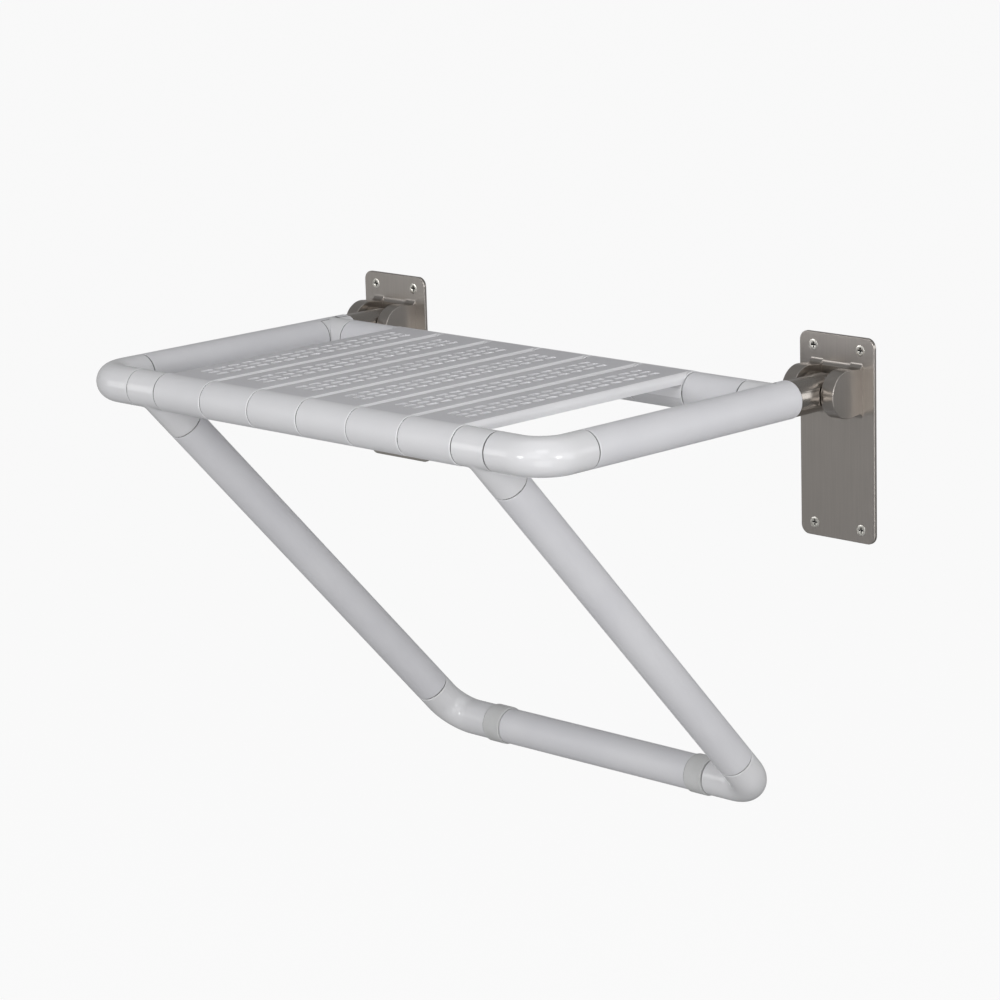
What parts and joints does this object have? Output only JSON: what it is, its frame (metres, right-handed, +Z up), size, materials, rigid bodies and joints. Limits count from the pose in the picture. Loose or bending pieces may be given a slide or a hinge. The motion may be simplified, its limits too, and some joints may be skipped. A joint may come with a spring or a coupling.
{
  "type": "folding shower seat",
  "caption": "Wall-mounted shower seat with perforated slats on a tubular frame, folding up about wall brackets, braced by a hinged leg frame that rests on the wall.",
  "frame": {"origin": "middle of the rectangle of the four outermost wall screws, on the wall plane", "axes": "+X right along the wall as seen from the room, +Y into the wall, +Z up"},
  "size_m": [0.659, 0.4134, 0.4576],
  "materials": {
    "brushed_stainless": "satin brushed stainless steel",
    "screw_steel": "bright stainless steel",
    "core_steel": "plain drawn steel tube",
    "nylon_sleeve": "light grey-white nylon, satin",
    "nylon_gloss": "light grey-white nylon, smooth and shiny",
    "slat_nylon": "light grey-white nylon, fine matt grain",
    "ring_rubber": "pale grey soft rubber",
    "bearing_plastic": "natural acetal"
  },
  "bodies": {
    "wall_brackets": {"wall_plate_left": "brushed_stainless", "wall_screws_left": "screw_steel", "hinge_pin_left": "screw_steel", "hinge_grub_screw_left": "screw_steel", "hinge_washers_left": "bearing_plastic", "wall_plate_right": "brushed_stainless", "wall_screws_right": "screw_steel", "hinge_pin_right": "screw_steel", "hinge_grub_screw_right": "screw_steel", "hinge_washers_right": "bearing_plastic"},
    "seat": {"hinge_knuckle_left": "brushed_stainless", "hinge_bush_left": "bearing_plastic", "arm_sleeve_left": "nylon_sleeve", "rear_saddle_left": "nylon_sleeve", "rear_sleeve_left": "nylon_sleeve", "front_elbow_left": "nylon_gloss", "hinge_knuckle_right": "brushed_stainless", "hinge_bush_right": "bearing_plastic", "arm_sleeve_right": "nylon_sleeve", "rear_saddle_right": "nylon_sleeve", "rear_sleeve_right": "nylon_sleeve", "front_elbow_right": "nylon_gloss", "seat_core_tube": "core_steel", "rear_core_tube": "core_steel", "knuckle_pins": "core_steel", "leg_stop_pins": "core_steel", "slat_1": "slat_nylon", "slat_2": "slat_nylon", "slat_3": "slat_nylon", "slat_4": "slat_nylon", "slat_5": "slat_nylon", "slat_6": "slat_nylon"},
    "leg_frame": {"front_tee_left": "nylon_sleeve", "leg_collar_left": "core_steel", "leg_sleeve_left": "nylon_sleeve", "foot_elbow_left": "nylon_gloss", "rubber_ring_left": "ring_rubber", "front_tee_right": "nylon_sleeve", "leg_collar_right": "core_steel", "leg_sleeve_right": "nylon_sleeve", "foot_elbow_right": "nylon_gloss", "rubber_ring_right": "ring_rubber", "leg_core_tube": "core_steel", "leg_pins": "core_steel", "bottom_sleeve": "nylon_sleeve"}
  },
  "joints": [
    {"name": "seat_fold", "type": "hinge", "parent": "wall_brackets", "child": "seat", "pos_m": [0, -0.023, 0.046], "axis": [-1, 0, 0], "range_deg": [0, 90]},
    {"name": "leg_fold", "type": "hinge", "parent": "seat", "child": "leg_frame", "pos_m": [0, -0.3835, 0.046], "axis": [1, 0, 0], "range_deg": [0, 39.9]}
  ]
}
